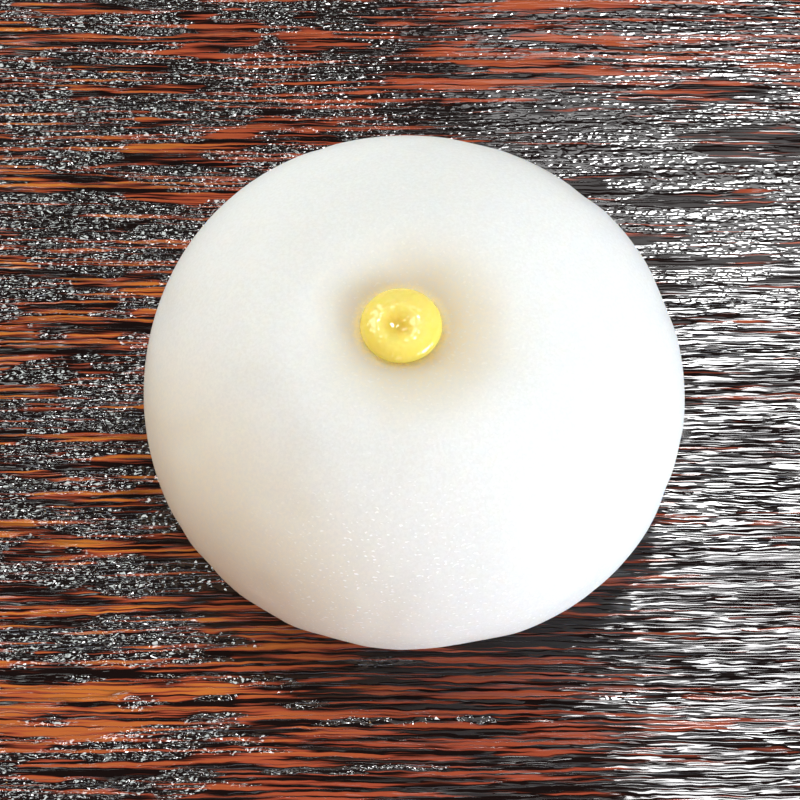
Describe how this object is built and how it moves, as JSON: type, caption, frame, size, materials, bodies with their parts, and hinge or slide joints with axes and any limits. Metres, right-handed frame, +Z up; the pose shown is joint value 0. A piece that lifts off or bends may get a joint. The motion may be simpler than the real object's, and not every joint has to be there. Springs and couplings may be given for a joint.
{
  "type": "uiro sweet on stand",
  "caption": "Hand-shaped white uiro rice sweet, a low dome with a dimple and a small yellow centre, on a dark lacquered wooden stand with cross cleats.",
  "frame": {"origin": "on the surface the stand rests on, below the middle of the board", "axes": "+X along the grain and length of the board, +Y away from the viewer across the grain, +Z up through the sweet"},
  "size_m": [0.13, 0.11, 0.042],
  "materials": {
    "white_sweet": "moist translucent rice-flour dough, finely grained",
    "yellow_sweet": "glossy translucent yellow jelly",
    "dark_lacquer": "brushed grain under gloss dark lacquer with red-brown streaks"
  },
  "bodies": {
    "root": {"uiro": "white_sweet", "yellow_centre": "yellow_sweet", "stand_board": "dark_lacquer", "stand_cleat_left": "dark_lacquer", "stand_cleat_right": "dark_lacquer"}
  },
  "joints": []
}
